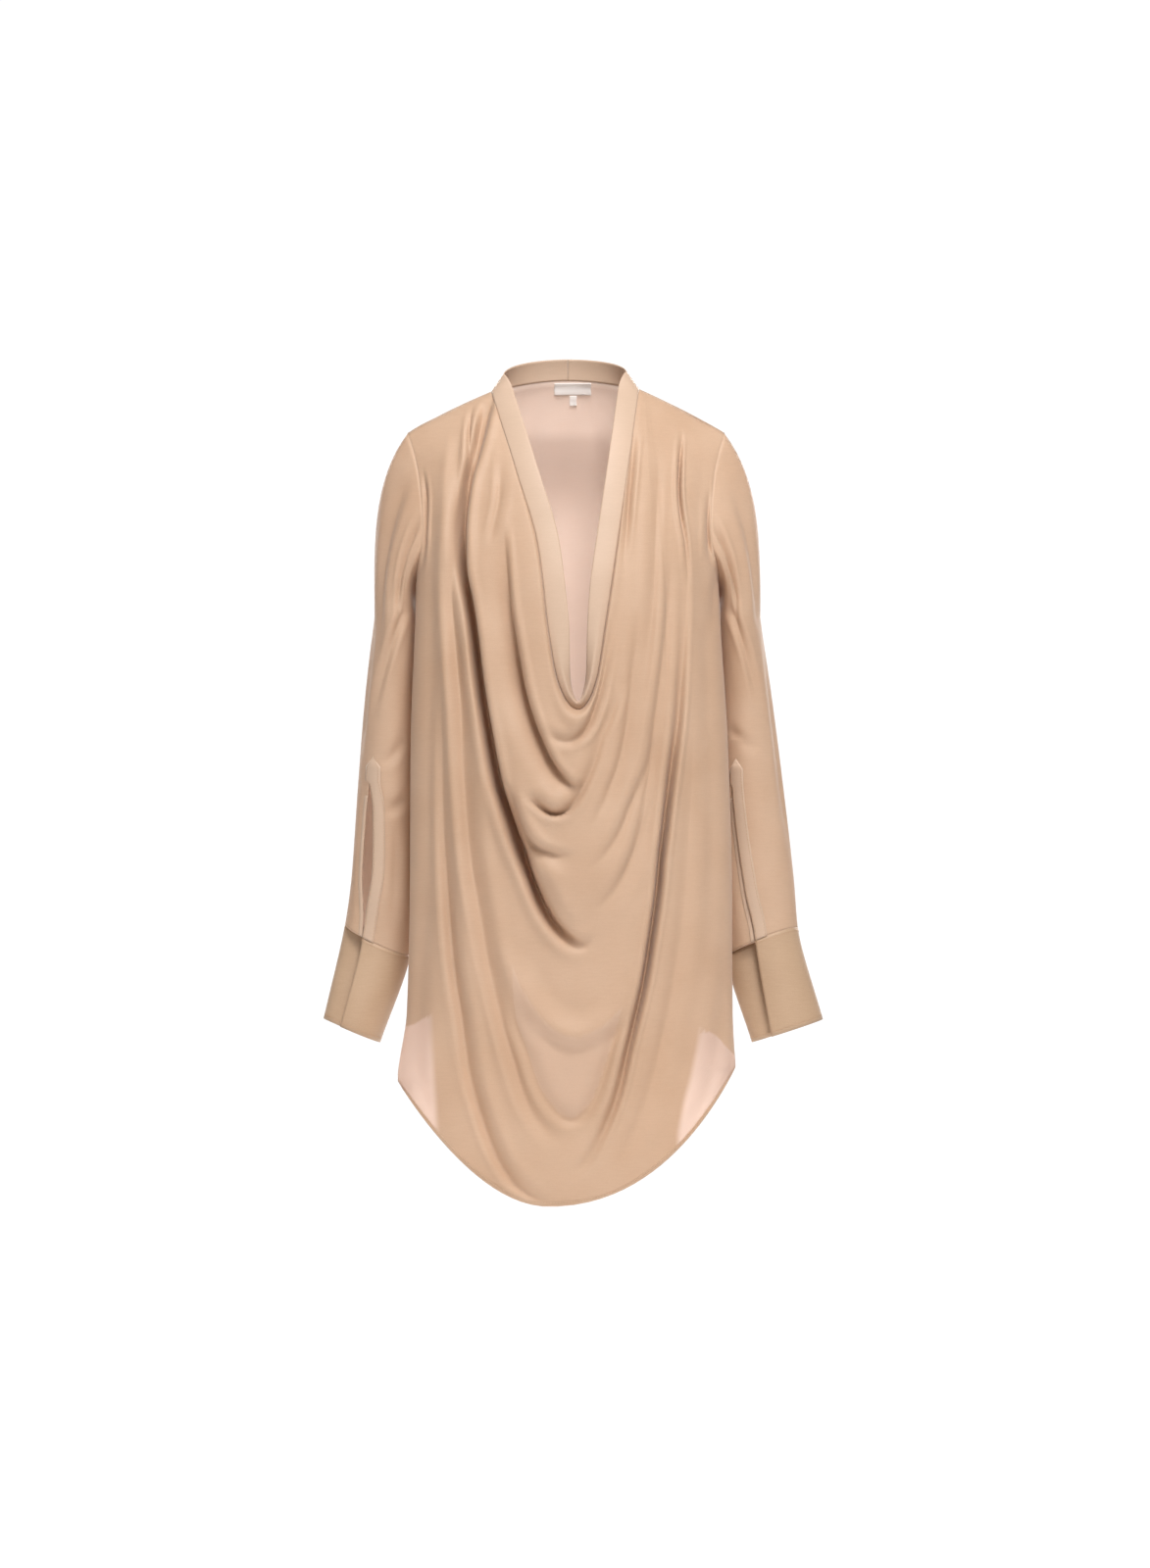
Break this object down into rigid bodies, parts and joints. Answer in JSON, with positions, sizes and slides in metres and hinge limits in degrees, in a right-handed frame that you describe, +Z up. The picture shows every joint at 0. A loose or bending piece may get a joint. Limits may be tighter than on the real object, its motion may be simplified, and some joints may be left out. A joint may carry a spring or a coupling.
{
  "type": "silk blouse",
  "caption": "Long-sleeved silk crepe blouse with a deep draped cowl front, narrow neckband, open lapped cuffs and a rounded shirt-tail hem, filled out as worn.",
  "frame": {"origin": "middle of the shoulders, half-way between the two shoulder tips, where the wearer's shoulders carry the garment; the neck seam is 26 to 42 mm above it", "axes": "+Z up, -Y out of the front, +X towards the wearer's left, which is the viewer's right"},
  "size_m": [0.5842, 0.2668, 1.0017],
  "materials": {
    "silk_crepe": "sheer silk crepe de chine, tan, soft matt with a faint sheen",
    "silk_crepe_doubled": "the same silk crepe in two or more layers, nearly opaque",
    "label_satin": "off-white woven satin, blank"
  },
  "bodies": {
    "root": {"front_panel": "silk_crepe", "back_panel": "silk_crepe", "sleeve_left": "silk_crepe", "sleeve_right": "silk_crepe", "cuff_left": "silk_crepe_doubled", "cuff_right": "silk_crepe_doubled", "placket_left": "silk_crepe_doubled", "placket_right": "silk_crepe_doubled", "placket_binding_left": "silk_crepe_doubled", "placket_binding_right": "silk_crepe_doubled", "neckband": "silk_crepe_doubled", "label_main": "label_satin", "label_size": "label_satin"}
  },
  "joints": []
}
